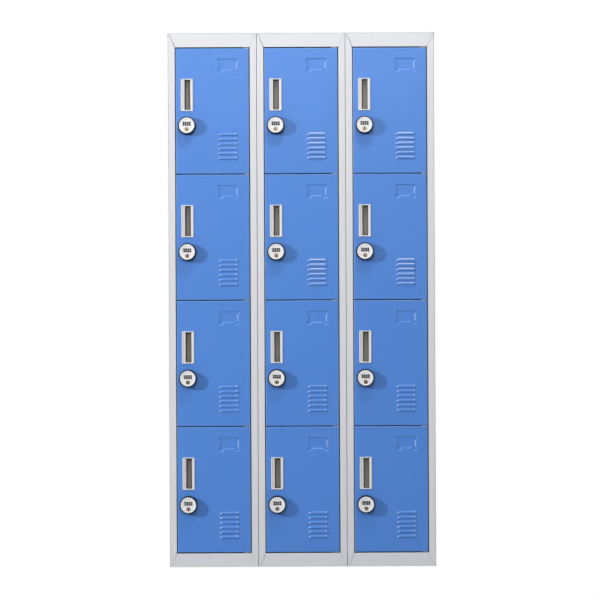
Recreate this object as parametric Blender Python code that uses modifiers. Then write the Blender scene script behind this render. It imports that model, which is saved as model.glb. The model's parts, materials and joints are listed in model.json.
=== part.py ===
"""A twelve-door steel locker: three columns of four compartments, with recessed pulls and round locks.

Metres, +Z up. The doors face -Y. The origin is on the floor, in the middle of the footprint, counting the
knobs of the locks, which stand out in front of the doors. Columns are numbered from the left and rows from
the top, so door_c1_r1 is the door at the top left.

Depths are measured back from the plane of the door faces, and front_plane(depth) turns one into a Y.
"""

import math

import bmesh
import bpy
from mathutils import Matrix, Vector

# Driving sizes
WIDTH = 0.900
HEIGHT = 1.800
DEPTH = 0.450
COLUMNS = 3
ROWS = 4
SHEET = 0.0008
FIT = 0.0003

# Front frame: one mitred surround to each column
STILE = 0.0225
RAIL = 0.046
FRAME_RETURN = 0.014
JAMB = 0.020
STRIKE_WIDTH = 0.012
STRIKE_DEPTH = 0.0189
STRIKE_END_GAP = 0.060

# Cabinet
LID_FLANGE = 0.013
BACK_FLANGE = 0.012
SHELF_FLANGE = 0.016
PARTITION_START = 0.004
PLINTH_HEIGHT = RAIL - 2 * SHEET + FIT
PLINTH_LIP = 0.018
LID_INSET = SHEET + FIT

# Doors
DOOR_GAP = 0.003
TIER_GAP = 0.0035
DOOR_DEPTH = 0.016
DOOR_BEND = 0.001
AXIS_FROM_EDGE = 0.009
AXIS_DEPTH = 0.006

# Hinge rail: an upright strip with one ear in each gap between doors, and a pin through each ear
EAR_THICKNESS = 0.0016
EAR_WIDTH = 0.020
EAR_FRONT = 0.0015
RAIL_STRIP = 0.0015
RAIL_STRIP_WIDTH = 0.024
PIN_RADIUS = 0.0025
PIN_REACH = 0.006
PIN_HOLE_RADIUS = 0.0029

# Features of a door, from its left edge and down from its top edge
GRIP_X = 0.0375
LABEL_X = 0.1756
HANDLE_DROP = 0.1567
LOCK_DROP = 0.2612
LABEL_DROP = 0.0582
LOUVRE_DROP = 0.2816

# Label recess: a pressed rectangle with tabs left standing at its sides and its lower edge
LABEL_WIDTH = 0.070
LABEL_HEIGHT = 0.047
LABEL_DEPTH = 0.0009
SIDE_TAB = (0.007, 0.024)
LOWER_TAB = (0.038, 0.008)
TAB_RISE = 0.0015

# Louvres: six hoods pressed outwards, open underneath
LOUVRES = 6
LOUVRE_PITCH = 0.016
LOUVRE_WIDTH = 0.064
LOUVRE_HEIGHT = 0.0125
LOUVRE_REACH = 0.0035
LOUVRE_END_SLOPE = 0.006
LOUVRE_TOP_SLOPE = 0.0055

# Recessed pull
PULL_WIDTH = 0.042
PULL_HEIGHT = 0.110
PULL_PROUD = 0.0025
PULL_BEZEL = 0.0035
PULL_WALL = 0.001
CUP_WIDTH = 0.0195
CUP_HEIGHT = 0.101
CUP_SHIFT = 0.0018
CUP_MOUTH_DEPTH = 0.003
CUP_DEPTH = 0.0135
CUP_DRAFT = 0.94
PULL_CUTOUT = (0.0345, 0.106)

# Round lock: knob, four number wheels, key plug, barrel and cam
LOCK_REACH = 0.025
FACE_STEP = 0.0012
FACE_RADIUS = 0.021
KNOB_RADIUS = 0.0268
SKIRT_RADIUS = 0.0292
SKIRT_REACH = 0.019
BARREL_RADIUS = 0.0095
BARREL_HOLE_RADIUS = 0.0105
BARREL_DEPTH = 0.0225
WHEELS = 4
WHEEL_PITCH = 0.007
WHEEL_WIDTH = 0.0052
WHEEL_RADIUS = 0.0125
WHEEL_PROUD = 0.0012
WHEEL_RISE = 0.006
PLUG_RADIUS = 0.0068
PLUG_DROP = 0.0125
KEYHOLE = (0.0016, 0.0075, 0.004)
CAM_REACH = 0.0355
CAM_TAIL = 0.009
CAM_WIDTH = 0.014
CAM_DEPTH = 0.022
CAM_THICKNESS = 0.002
CAM_NUT_RADIUS = 0.0065
CAM_NUT_HEIGHT = 0.004

# Worked out from the sizes above
FRONT = (LOCK_REACH - DEPTH) / 2
INNER_WIDTH = WIDTH - 2 * LID_INSET
BAY = (INNER_WIDTH - (COLUMNS + 1) * SHEET) / COLUMNS
BAY_PITCH = BAY + SHEET
CARCASS_TOP = HEIGHT - SHEET - FIT
CARCASS_BACK = DEPTH - SHEET - FIT
FRAME_WIDTH = BAY - 2 * FIT
DOOR_WIDTH = FRAME_WIDTH - 2 * STILE - 2 * DOOR_GAP
DOOR_HEIGHT = (CARCASS_TOP - 2 * RAIL - (ROWS + 1) * TIER_GAP) / ROWS
TIER = DOOR_HEIGHT + TIER_GAP
RAIL_STRIP_DEPTH = JAMB + FIT
SHELF_FRONT = RAIL_STRIP_DEPTH + RAIL_STRIP + FIT
SHELF_BACK = CARCASS_BACK - BACK_FLANGE - FIT
CUT = 0.002

FRONT_SIDE = Vector((0, -1, 0))
BACK_SIDE = Vector((0, 1, 0))
LOWER_SIDE = Vector((0, 0, -1))


def front_plane(depth):
    """The Y of a plane this far behind the door faces."""
    return FRONT + depth


def bay_centre(column):
    return (column - (COLUMNS + 1) / 2) * BAY_PITCH


def gap_height(row):
    """The height of the middle of the gap below this row's doors. Row 0 is the gap under the top rail."""
    return CARCASS_TOP - RAIL - TIER_GAP / 2 - row * TIER


# Scene and materials


def clear_scene():
    for obj in list(bpy.data.objects):
        bpy.data.objects.remove(obj)


def new_collection(name):
    collection = bpy.data.collections.new(name)
    bpy.context.scene.collection.children.link(collection)
    return collection


def paint(name, colour, roughness, metallic=0.0):
    material = bpy.data.materials.new(name)
    material.use_nodes = True
    shader = material.node_tree.nodes["Principled BSDF"]
    shader.inputs["Base Color"].default_value = (*colour, 1.0)
    shader.inputs["Roughness"].default_value = roughness
    shader.inputs["Metallic"].default_value = metallic
    material.diffuse_color = (*colour, 1.0)
    return material


# Modelling helpers. Each makes a mesh in the part's own axes.


def box(low, high):
    """A cube stretched between two corners, as an editable mesh."""
    bm = bmesh.new()
    bmesh.ops.create_cube(bm, size=1.0)
    low, high = Vector(low), Vector(high)
    bmesh.ops.scale(bm, vec=high - low, verts=bm.verts)
    bmesh.ops.translate(bm, vec=(low + high) / 2, verts=bm.verts)
    bm.normal_update()
    return bm


def side(bm, direction):
    """The face of a box that looks in this direction."""
    return max(bm.faces, key=lambda face: face.normal.dot(direction))


def drop_faces(bm, directions):
    bmesh.ops.delete(bm, geom=[side(bm, d) for d in directions], context="FACES")


def draw_in(bm, face, shift):
    """Extrude a face along shift and return the new face, whose corners can then be moved."""
    made = bmesh.ops.extrude_discrete_faces(bm, faces=[face])["faces"][0]
    bmesh.ops.translate(bm, vec=shift, verts=made.verts)
    return made


def cylinder(radius, start, end, sides, axis="Y"):
    """A capped cylinder along X or Y, between two places on that axis."""
    bm = bmesh.new()
    turn = Matrix.Rotation(math.radians(90), 4, "X" if axis == "Y" else "Y")
    middle = Vector((0, (start + end) / 2, 0)) if axis == "Y" else Vector(((start + end) / 2, 0, 0))
    bmesh.ops.create_cone(
        bm,
        cap_ends=True,
        segments=sides,
        radius1=radius,
        radius2=radius,
        depth=end - start,
        matrix=Matrix.Translation(middle) @ turn,
    )
    return bm


def upright_cylinder(radius, low, high, sides, x, y):
    bm = bmesh.new()
    bmesh.ops.create_cone(
        bm,
        cap_ends=True,
        segments=sides,
        radius1=radius,
        radius2=radius,
        depth=high - low,
        matrix=Matrix.Translation((x, y, (low + high) / 2)),
    )
    return bm


def moved(bm, shift):
    bmesh.ops.translate(bm, vec=shift, verts=bm.verts)
    return bm


def merged(pieces):
    """Several editable meshes as one, for use as a cutter or an addition."""
    joined = bmesh.new()
    for piece in pieces:
        mesh = bpy.data.meshes.new("piece")
        piece.to_mesh(mesh)
        piece.free()
        joined.from_mesh(mesh)
        bpy.data.meshes.remove(mesh)
    return joined


def helper(name, bm):
    """An object that only shapes another one, kept out of renders."""
    mesh = bpy.data.meshes.new(name)
    bm.to_mesh(mesh)
    bm.free()
    obj = bpy.data.objects.new(name, mesh)
    obj.hide_render = True
    obj.display_type = "WIRE"
    CUTTERS.objects.link(obj)
    return obj


def solidify(obj, thickness):
    modifier = obj.modifiers.new("Sheet", "SOLIDIFY")
    modifier.thickness = thickness
    modifier.offset = -1
    modifier.use_even_offset = True


def bend_edges(obj, radius):
    modifier = obj.modifiers.new("Bends", "BEVEL")
    modifier.width = radius
    modifier.segments = 1
    modifier.limit_method = "ANGLE"


def combine(obj, name, bm, operation):
    modifier = obj.modifiers.new(name, "BOOLEAN")
    modifier.operation = operation
    modifier.solver = "EXACT"
    modifier.object = helper(name, bm)


def finished_mesh(obj, name):
    """The mesh of an object with its modifiers applied. The object and its helpers go."""
    bpy.context.view_layer.update()
    graph = bpy.context.evaluated_depsgraph_get()
    mesh = bpy.data.meshes.new_from_object(obj.evaluated_get(graph))
    mesh.name = name
    for modifier in obj.modifiers:
        if modifier.type == "BOOLEAN":
            bpy.data.objects.remove(modifier.object)
    bpy.data.objects.remove(obj)
    return mesh


def shade_round(mesh):
    """Smooth the turned surfaces and keep the edges between them crisp."""
    mesh.shade_smooth()
    mesh.set_sharp_from_angle(angle=math.radians(30))
    return mesh


def place(name, mesh, material, location, parent=None):
    """Put a mesh into the locker as a named part."""
    if not mesh.materials:
        mesh.materials.append(material)
    obj = bpy.data.objects.new(name, mesh)
    obj.location = location
    obj.parent = parent
    LOCKER.objects.link(obj)
    return obj


def sheet_part(name, bm, material, location):
    """A folded sheet: an open surface that gets its thickness inwards from Solidify."""
    mesh = bpy.data.meshes.new(name)
    bm.to_mesh(mesh)
    bm.free()
    obj = place(name, mesh, material, location)
    solidify(obj, SHEET)
    return obj


# Cabinet


def make_lid(material):
    """The top: a flat sheet with its sides and back folded down over the carcass."""
    bm = box((-WIDTH / 2, 0, -LID_FLANGE), (WIDTH / 2, DEPTH, 0))
    drop_faces(bm, [LOWER_SIDE, FRONT_SIDE])
    sheet_part("top_panel", bm, material, (0, FRONT, HEIGHT))


def make_plinth(material):
    """The floor of the lowest compartments, folded down to the ground and in under itself."""
    half = INNER_WIDTH / 2 - SHEET - FIT
    start = FRAME_RETURN + FIT
    bm = box((-half, 0, 0), (half, CARCASS_BACK - start, PLINTH_HEIGHT))
    underside = side(bm, LOWER_SIDE)
    bmesh.ops.inset_individual(bm, faces=[underside], thickness=PLINTH_LIP, use_even_offset=True)
    bmesh.ops.delete(bm, geom=[underside], context="FACES")
    sheet_part("base_plinth", bm, material, (0, front_plane(start), 0))


def make_upright(name, x, start, foot, material):
    """A side panel, standing on the ground, or a partition, standing on the plinth behind the seam."""
    bm = box((-SHEET / 2, start, foot), (SHEET / 2, CARCASS_BACK, CARCASS_TOP))
    mesh = bpy.data.meshes.new(name)
    bm.to_mesh(mesh)
    bm.free()
    place(name, mesh, material, (x, FRONT, 0))


def make_uprights(material):
    outer = INNER_WIDTH / 2 - SHEET / 2
    on_plinth = PLINTH_HEIGHT + FIT
    make_upright("side_panel_left", -outer, 0, 0, material)
    make_upright("side_panel_right", outer, 0, 0, material)
    for wall in range(1, COLUMNS):
        seam = bay_centre(wall) + BAY_PITCH / 2
        make_upright(f"partition_{wall}", seam, PARTITION_START, on_plinth, material)


def make_back(column, material):
    """A back panel, folded forward along its four edges."""
    half = BAY / 2 - FIT
    foot = PLINTH_HEIGHT + FIT
    bm = box((-half, -BACK_FLANGE, foot), (half, 0, CARCASS_TOP))
    drop_faces(bm, [FRONT_SIDE])
    place_at = (bay_centre(column), front_plane(CARCASS_BACK), 0)
    sheet_part(f"back_panel_c{column}", bm, material, place_at)


def make_shelf(column, row, material):
    """A shelf, folded down along its four edges, level with the gap between two doors."""
    half = BAY / 2 - FIT
    bm = box((-half, 0, -SHELF_FLANGE / 2), (half, SHELF_BACK - SHELF_FRONT, SHELF_FLANGE / 2))
    drop_faces(bm, [LOWER_SIDE])
    place_at = (bay_centre(column), front_plane(SHELF_FRONT), gap_height(row))
    sheet_part(f"shelf_c{column}_s{row}", bm, material, place_at)


def frame_mesh():
    """The mitred surround of a column: outer return, face and jamb, with the strike the cams catch behind."""
    half = FRAME_WIDTH / 2
    bm = box((-half, 0, 0), (half, FRAME_RETURN, CARCASS_TOP))
    drop_faces(bm, [BACK_SIDE])
    opening = side(bm, FRONT_SIDE)
    bmesh.ops.inset_individual(bm, faces=[opening], thickness=STILE, use_even_offset=True)
    middle = CARCASS_TOP / 2
    for vert in opening.verts:
        vert.co.z = middle + math.copysign(middle - RAIL, vert.co.z - middle)
    opening = draw_in(bm, opening, (0, JAMB, 0))
    bmesh.ops.delete(bm, geom=[opening], context="FACES_ONLY")

    surround = helper("surround", bm)
    solidify(surround, SHEET)
    left = STILE - half
    strike = box(
        (left - SHEET / 2, STRIKE_DEPTH, STRIKE_END_GAP),
        (left + STRIKE_WIDTH, STRIKE_DEPTH + SHEET, CARCASS_TOP - STRIKE_END_GAP),
    )
    combine(surround, "strike", strike, "UNION")
    return finished_mesh(surround, "front_frame")


def make_frames(material):
    mesh = frame_mesh()
    for column in range(1, COLUMNS + 1):
        place(f"front_frame_c{column}", mesh, material, (bay_centre(column), FRONT, 0))


# Hinges


def hinge_x():
    """The hinge axis, from the middle of the column."""
    return FRAME_WIDTH / 2 - STILE - DOOR_GAP - AXIS_FROM_EDGE


def hinge_rail_mesh():
    """A strip behind the hinge-side jamb, with an ear and its pin in each gap. Its origin is on the axis."""
    right = AXIS_FROM_EDGE + DOOR_GAP
    strip_front = RAIL_STRIP_DEPTH - AXIS_DEPTH
    strip = box(
        (right - RAIL_STRIP_WIDTH, strip_front, gap_height(ROWS) - EAR_THICKNESS / 2),
        (right, strip_front + RAIL_STRIP, gap_height(0) + EAR_THICKNESS / 2),
    )
    ear_right = AXIS_FROM_EDGE - FIT
    ears = []
    pins = []
    for row in range(ROWS + 1):
        middle = gap_height(row)
        low = middle - EAR_THICKNESS / 2
        high = middle + EAR_THICKNESS / 2
        ears.append(
            box(
                (ear_right - EAR_WIDTH, EAR_FRONT - AXIS_DEPTH, low),
                (ear_right, strip_front + RAIL_STRIP / 2, high),
            )
        )
        pin_low = low - PIN_REACH if row < ROWS else middle
        pin_high = high + PIN_REACH if row > 0 else middle
        pins.append(upright_cylinder(PIN_RADIUS, pin_low, pin_high, 12, 0, 0))
    rail = helper("hinge_strip", strip)
    combine(rail, "ears", merged(ears), "UNION")
    combine(rail, "pins", merged(pins), "UNION")
    return shade_round(finished_mesh(rail, "hinge_rail"))


def make_hinge_rails(material):
    mesh = hinge_rail_mesh()
    for column in range(1, COLUMNS + 1):
        place_at = (bay_centre(column) + hinge_x(), front_plane(AXIS_DEPTH), 0)
        place(f"hinge_rail_c{column}", mesh, material, place_at)


# Doors. A door's origin is on its hinge axis, level with its lower edge.

DOOR_LEFT = AXIS_FROM_EDGE - DOOR_WIDTH
DOOR_FACE = -AXIS_DEPTH


def louvre_hood(drop, shrink, back, below):
    """One hood: a box whose front is drawn in at the top and at both ends."""
    half = LOUVRE_WIDTH / 2 - shrink
    top = DOOR_HEIGHT - drop - shrink
    bottom = DOOR_HEIGHT - drop - LOUVRE_HEIGHT - below
    middle = DOOR_LEFT + LABEL_X
    front = DOOR_FACE - LOUVRE_REACH + shrink
    bm = box((middle - half, front, bottom), (middle + half, DOOR_FACE + back, top))
    for vert in side(bm, FRONT_SIDE).verts:
        vert.co.x -= math.copysign(LOUVRE_END_SLOPE, vert.co.x - middle)
        if vert.co.z > (top + bottom) / 2:
            vert.co.z -= LOUVRE_TOP_SLOPE
    return bm


def louvre_hoods(shrink, back, below):
    return merged(
        louvre_hood(LOUVRE_DROP + number * LOUVRE_PITCH, shrink, back, below) for number in range(LOUVRES)
    )


def label_outline():
    """The corners of the label recess, clockwise from its top left. Tabs narrow towards the middle."""
    half, tall = LABEL_WIDTH / 2, LABEL_HEIGHT / 2
    side_in, side_half = SIDE_TAB[0], SIDE_TAB[1] / 2
    foot_half, foot_in = LOWER_TAB[0] / 2, LOWER_TAB[1]
    right = [
        (half, tall),
        (half, side_half + TAB_RISE),
        (half - side_in, side_half - TAB_RISE),
        (half - side_in, -side_half + TAB_RISE),
        (half, -side_half - TAB_RISE),
        (half, -tall),
        (foot_half + TAB_RISE, -tall),
        (foot_half - TAB_RISE, foot_in - tall),
    ]
    left = [(-x, z) for x, z in reversed(right)]
    return right + left


def label_recess():
    """The recess as a solid, cut from a flat outline that stands upright."""
    curve = bpy.data.curves.new("label_outline", "CURVE")
    curve.dimensions = "2D"
    curve.fill_mode = "BOTH"
    curve.extrude = (LABEL_DEPTH + CUT) / 2
    corners = label_outline()
    spline = curve.splines.new("POLY")
    spline.points.add(len(corners) - 1)
    for point, (x, z) in zip(spline.points, corners):
        point.co = (x, z, 0, 1)
    spline.use_cyclic_u = True
    flat = bpy.data.objects.new("label_outline", curve)
    CUTTERS.objects.link(flat)
    bpy.context.view_layer.update()
    mesh = bpy.data.meshes.new_from_object(flat.evaluated_get(bpy.context.evaluated_depsgraph_get()))
    bpy.data.objects.remove(flat)

    bm = bmesh.new()
    bm.from_mesh(mesh)
    bpy.data.meshes.remove(mesh)
    bmesh.ops.remove_doubles(bm, verts=bm.verts, dist=0.00001)
    bmesh.ops.rotate(bm, matrix=Matrix.Rotation(math.radians(90), 3, "X"), verts=bm.verts)
    bmesh.ops.recalc_face_normals(bm, faces=bm.faces)
    middle = Vector((DOOR_LEFT + LABEL_X, 0, DOOR_HEIGHT - LABEL_DROP))
    return moved(bm, middle + Vector((0, DOOR_FACE + (LABEL_DEPTH - CUT) / 2, 0)))


def label_backing():
    """The bulge that the recess leaves on the inside of the door."""
    half, tall = LABEL_WIDTH / 2 + SHEET, LABEL_HEIGHT / 2 + SHEET
    middle = Vector((DOOR_LEFT + LABEL_X, DOOR_FACE, DOOR_HEIGHT - LABEL_DROP))
    return moved(box((-half, SHEET / 2, -tall), (half, SHEET + LABEL_DEPTH, tall)), middle)


def door_openings():
    """The holes for the pull, for the barrel of the lock and for the two hinge pins."""
    grip = DOOR_LEFT + GRIP_X
    wide, tall = PULL_CUTOUT
    pull_height = DOOR_HEIGHT - HANDLE_DROP
    pull = box(
        (grip - wide / 2, DOOR_FACE - CUT, pull_height - tall / 2),
        (grip + wide / 2, DOOR_FACE + CUT, pull_height + tall / 2),
    )
    barrel = moved(
        cylinder(BARREL_HOLE_RADIUS, DOOR_FACE - CUT, DOOR_FACE + CUT, 16),
        (grip, 0, DOOR_HEIGHT - LOCK_DROP),
    )
    pins = [
        upright_cylinder(PIN_HOLE_RADIUS, height - CUT, height + CUT, 12, 0, 0)
        for height in (0, DOOR_HEIGHT)
    ]
    return merged([pull, barrel, *pins])


def door_mesh():
    """A sheet folded back along its four edges, with its louvres, label recess and holes."""
    bm = box((DOOR_LEFT, DOOR_FACE, 0), (AXIS_FROM_EDGE, DOOR_FACE + DOOR_DEPTH, DOOR_HEIGHT))
    drop_faces(bm, [BACK_SIDE])
    door = helper("door_sheet", bm)
    bend_edges(door, DOOR_BEND)
    solidify(door, SHEET)
    combine(door, "label_backing", label_backing(), "UNION")
    combine(door, "label_recess", label_recess(), "DIFFERENCE")
    combine(door, "hoods", louvre_hoods(0, SHEET / 2, 0), "UNION")
    combine(door, "hood_hollows", louvre_hoods(SHEET, CUT, SHEET / 2), "DIFFERENCE")
    combine(door, "openings", door_openings(), "DIFFERENCE")
    return finished_mesh(door, "door")


# Recessed pull. Its origin is in the middle of its bezel, on the plane of the door's face.


def pull_mesh():
    """A bezel that funnels into a finger cup."""
    half, tall = PULL_WIDTH / 2, PULL_HEIGHT / 2
    bm = box((-half, -PULL_PROUD, -tall), (half, -FIT, tall))
    drop_faces(bm, [BACK_SIDE])
    face = side(bm, FRONT_SIDE)
    bmesh.ops.inset_individual(bm, faces=[face], thickness=PULL_BEZEL, use_even_offset=True)
    face = draw_in(bm, face, (CUP_SHIFT, PULL_PROUD + CUP_MOUTH_DEPTH, 0))
    funnel = (CUP_WIDTH / (PULL_WIDTH - 2 * PULL_BEZEL), 1, CUP_HEIGHT / (PULL_HEIGHT - 2 * PULL_BEZEL))
    about_cup = Matrix.Translation((-CUP_SHIFT, 0, 0))
    bmesh.ops.scale(bm, vec=funnel, space=about_cup, verts=face.verts)
    face = draw_in(bm, face, (0, CUP_DEPTH - CUP_MOUTH_DEPTH, 0))
    bmesh.ops.scale(bm, vec=(CUP_DRAFT, 1, 1), space=about_cup, verts=face.verts)
    pull = helper("pull_shell", bm)
    solidify(pull, PULL_WALL)
    return finished_mesh(pull, "handle")


# Round lock. Its origin is on its turning axis, on the plane of the door's face.


def lock_profile():
    """Radius and reach in front of the door, from the middle of the face round to the end of the barrel."""
    face_reach = LOCK_REACH - FACE_STEP
    return [
        (0, face_reach),
        (FACE_RADIUS, face_reach),
        (FACE_RADIUS + FACE_STEP, LOCK_REACH),
        (KNOB_RADIUS - FACE_STEP, LOCK_REACH),
        (KNOB_RADIUS, face_reach),
        (KNOB_RADIUS, SKIRT_REACH),
        (SKIRT_RADIUS, SKIRT_REACH),
        (SKIRT_RADIUS, FIT),
        (BARREL_RADIUS, FIT),
        (BARREL_RADIUS, -BARREL_DEPTH),
        (0, -BARREL_DEPTH),
    ]


def turned_knob():
    """The knob and barrel, turned about Z from their profile and then laid down to face -Y."""
    mesh = bpy.data.meshes.new("lock_profile")
    points = [(radius, 0, reach) for radius, reach in lock_profile()]
    mesh.from_pydata(points, [(n, n + 1) for n in range(len(points) - 1)], [])
    profile = bpy.data.objects.new("lock_profile", mesh)
    CUTTERS.objects.link(profile)
    screw = profile.modifiers.new("Turn", "SCREW")
    screw.steps = 16
    screw.render_steps = 16
    screw.use_merge_vertices = True
    screw.merge_threshold = 0.0001
    turned = finished_mesh(profile, "turned_knob")
    bm = bmesh.new()
    bm.from_mesh(turned)
    bpy.data.meshes.remove(turned)
    bmesh.ops.rotate(bm, matrix=Matrix.Rotation(math.radians(90), 3, "X"), verts=bm.verts)
    return bm


def cam_plate():
    """The flat bar behind the door. It hangs down when the lock is open."""
    bm = box(
        (-CAM_WIDTH / 2, CAM_DEPTH, -CAM_REACH),
        (CAM_WIDTH / 2, CAM_DEPTH + CAM_THICKNESS, CAM_TAIL),
    )
    corners = [e for e in bm.edges if abs((e.verts[0].co - e.verts[1].co).normalized().y) > 0.9]
    bmesh.ops.bevel(bm, geom=corners, offset=CAM_WIDTH / 3, segments=2, profile=0.5, affect="EDGES")
    return bm


def lock_mesh():
    knob = helper("knob", turned_knob())
    face_reach = LOCK_REACH - FACE_STEP
    wheels = []
    for number in range(WHEELS):
        middle = (number - (WHEELS - 1) / 2) * WHEEL_PITCH
        wheel = cylinder(WHEEL_RADIUS, middle - WHEEL_WIDTH / 2, middle + WHEEL_WIDTH / 2, 10, axis="X")
        wheels.append(moved(wheel, (0, WHEEL_RADIUS - WHEEL_PROUD - face_reach, WHEEL_RISE)))
    plug = moved(cylinder(PLUG_RADIUS, -LOCK_REACH, -SKIRT_REACH, 12), (0, 0, -PLUG_DROP))
    wide, tall, deep = KEYHOLE
    keyhole = box(
        (-wide / 2, -LOCK_REACH - CUT, -PLUG_DROP - tall / 2),
        (wide / 2, -LOCK_REACH + deep, -PLUG_DROP + tall / 2),
    )
    nut_start = CAM_DEPTH + CAM_THICKNESS - SHEET
    nut = cylinder(CAM_NUT_RADIUS, nut_start, nut_start + CAM_NUT_HEIGHT, 6)
    combine(knob, "wheels", merged(wheels), "UNION")
    combine(knob, "plug", plug, "UNION")
    combine(knob, "keyhole", keyhole, "DIFFERENCE")
    combine(knob, "cam", cam_plate(), "UNION")
    combine(knob, "nut", nut, "UNION")
    return shade_round(finished_mesh(knob, "lock"))


def make_doors(door_paint, pull_plastic, lock_shell):
    """Each door hangs on an empty on its hinge axis, and carries its pull and its lock."""
    door, pull, lock = door_mesh(), pull_mesh(), lock_mesh()
    grip = DOOR_LEFT + GRIP_X
    for column in range(1, COLUMNS + 1):
        for row in range(1, ROWS + 1):
            tag = f"c{column}_r{row}"
            axis = bpy.data.objects.new(f"hinge_axis_{tag}", None)
            axis.location = (
                bay_centre(column) + hinge_x(),
                front_plane(AXIS_DEPTH),
                gap_height(row) + TIER_GAP / 2,
            )
            LOCKER.objects.link(axis)
            place(f"door_{tag}", door, door_paint, (0, 0, 0), axis)
            pull_at = (grip, DOOR_FACE, DOOR_HEIGHT - HANDLE_DROP)
            place(f"handle_{tag}", pull, pull_plastic, pull_at, axis)
            lock_at = (grip, DOOR_FACE, DOOR_HEIGHT - LOCK_DROP)
            place(f"lock_{tag}", lock, lock_shell, lock_at, axis)


clear_scene()
LOCKER = new_collection("coin_operated_locker")
CUTTERS = new_collection("cutters")
CUTTERS.hide_render = True

GREY_PAINT = paint("grey_paint", (0.66, 0.67, 0.70), 0.45)
BLUE_PAINT = paint("blue_paint", (0.08, 0.24, 0.68), 0.40)
ZINC_PLATE = paint("zinc_plate", (0.62, 0.60, 0.58), 0.35, metallic=1.0)
PULL_PLASTIC = paint("pull_plastic", (0.78, 0.77, 0.74), 0.35)
LOCK_SHELL = paint("lock_shell", (0.85, 0.86, 0.88), 0.25)

make_lid(GREY_PAINT)
make_plinth(GREY_PAINT)
make_uprights(GREY_PAINT)
for bay in range(1, COLUMNS + 1):
    make_back(bay, GREY_PAINT)
    for level in range(1, ROWS):
        make_shelf(bay, level, GREY_PAINT)
make_frames(GREY_PAINT)
make_hinge_rails(ZINC_PLATE)
make_doors(BLUE_PAINT, PULL_PLASTIC, LOCK_SHELL)
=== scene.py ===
"""The twelve-door steel locker, finished: folded sheet, moulded pulls, combination locks and their paint.

Shapes are worked out in millimetres in the door's or panel's own axes (x across, y back from the front
plane, z up) and placed in metres where the frame says.
"""

import json
import math

import bmesh
import bpy
import numpy as np
from mathutils import Matrix, Vector


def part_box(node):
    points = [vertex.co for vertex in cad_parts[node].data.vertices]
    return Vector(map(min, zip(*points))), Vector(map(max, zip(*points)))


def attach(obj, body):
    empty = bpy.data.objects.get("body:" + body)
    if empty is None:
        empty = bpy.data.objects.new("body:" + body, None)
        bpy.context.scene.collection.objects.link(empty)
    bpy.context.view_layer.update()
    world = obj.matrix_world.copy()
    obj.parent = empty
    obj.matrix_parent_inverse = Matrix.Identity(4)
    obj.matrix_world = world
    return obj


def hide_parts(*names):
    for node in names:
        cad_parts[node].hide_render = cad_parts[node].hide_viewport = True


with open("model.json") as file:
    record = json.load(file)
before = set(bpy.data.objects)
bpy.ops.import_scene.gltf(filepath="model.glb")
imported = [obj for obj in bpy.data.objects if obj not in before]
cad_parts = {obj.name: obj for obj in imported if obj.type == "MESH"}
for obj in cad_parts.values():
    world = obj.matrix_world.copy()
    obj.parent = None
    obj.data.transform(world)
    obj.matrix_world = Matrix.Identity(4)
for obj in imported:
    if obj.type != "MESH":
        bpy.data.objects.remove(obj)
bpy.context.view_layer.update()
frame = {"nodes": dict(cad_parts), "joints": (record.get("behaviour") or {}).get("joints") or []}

MM = 0.001
COLUMNS = (1, 2, 3)
ROWS = (1, 2, 3, 4)
SHELVES = (1, 2, 3)
SHEET = 0.8
BEND = 1.6
BEND_STEPS = 4
CLOSE = 0.01

FACE_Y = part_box("front_frame_c1")[0].y
JOINTS = {joint["name"]: joint for joint in frame["joints"]}

# A door, from its left edge and down from its top edge
DOOR_LOW, DOOR_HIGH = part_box("door_c1_r1")
DOOR_W = (DOOR_HIGH.x - DOOR_LOW.x) / MM
DOOR_H = (DOOR_HIGH.z - DOOR_LOW.z) / MM
DOOR_DEPTH = 16.0
PULL_MIDDLE = (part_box("handle_c1_r1")[0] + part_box("handle_c1_r1")[1]) / 2
LOCK_AXIS = Vector(JOINTS["lock_c1_r1_turn"]["pos_m"])
GRIP = (PULL_MIDDLE.x - DOOR_LOW.x) / MM
HANDLE_DROP = (DOOR_HIGH.z - PULL_MIDDLE.z) / MM
LOCK_DROP = (DOOR_HIGH.z - LOCK_AXIS.z) / MM
PULL_HOLE_W, PULL_HOLE_H = 34.5, 106.0
LOCK_HOLE_R = 10.5
PIN_HOLE_R = 2.9
PIN_IN = 9.0
PIN_BACK = 6.0
LABEL = 175.6
LABEL_DROP = 58.2
LABEL_DEPTH = 2.1

# The louvres: where they start, and each hood's lines down from its own top
LOUVRE_DROP = 281.6
LOUVRE_PITCH = 16.0
LOUVRES = 6
LOUVRES_END = LOUVRE_DROP + LOUVRES * LOUVRE_PITCH
FOLD = 4.0
FOLD_W = 2.4
LIP = 11.3
UNDERSIDE = 1.4
SLOT = 0.7
FOOT = LIP + UNDERSIDE
HOOD_RISE = 3.45
HOOD_HALF = 32.2
HOOD_TOP_HALF = 26.0
# How strong the painted highlight on each hood's fold is, top hood first.
NO_FOLD_HIGHLIGHTS = [0.0] * LOUVRES
FOLD_HIGHLIGHTS = [0.95, 0.8, 0.9, 0.75, 0.4, 0.45]


# ---------------------------------------------------------------- mesh tools


def mesh_from(name, verts, faces):
    """A mesh from points in millimetres."""
    mesh = bpy.data.meshes.new(name)
    mesh.from_pydata([Vector(v) * MM for v in verts], [], [list(map(int, f)) for f in faces])
    mesh.update()
    return mesh


def rounded_shading(mesh, angle):
    """Smooth shading, with every edge sharper than the angle left hard."""
    mesh.shade_smooth()
    mesh.set_sharp_from_angle(angle=math.radians(angle))
    return mesh


def edited(mesh, work=None):
    """The mesh with its faces turned outwards and then some work done on it."""
    bm = bmesh.new()
    bm.from_mesh(mesh)
    bmesh.ops.recalc_face_normals(bm, faces=bm.faces)
    if work:
        work(bm)
    bm.to_mesh(mesh)
    bm.free()
    return mesh


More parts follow.
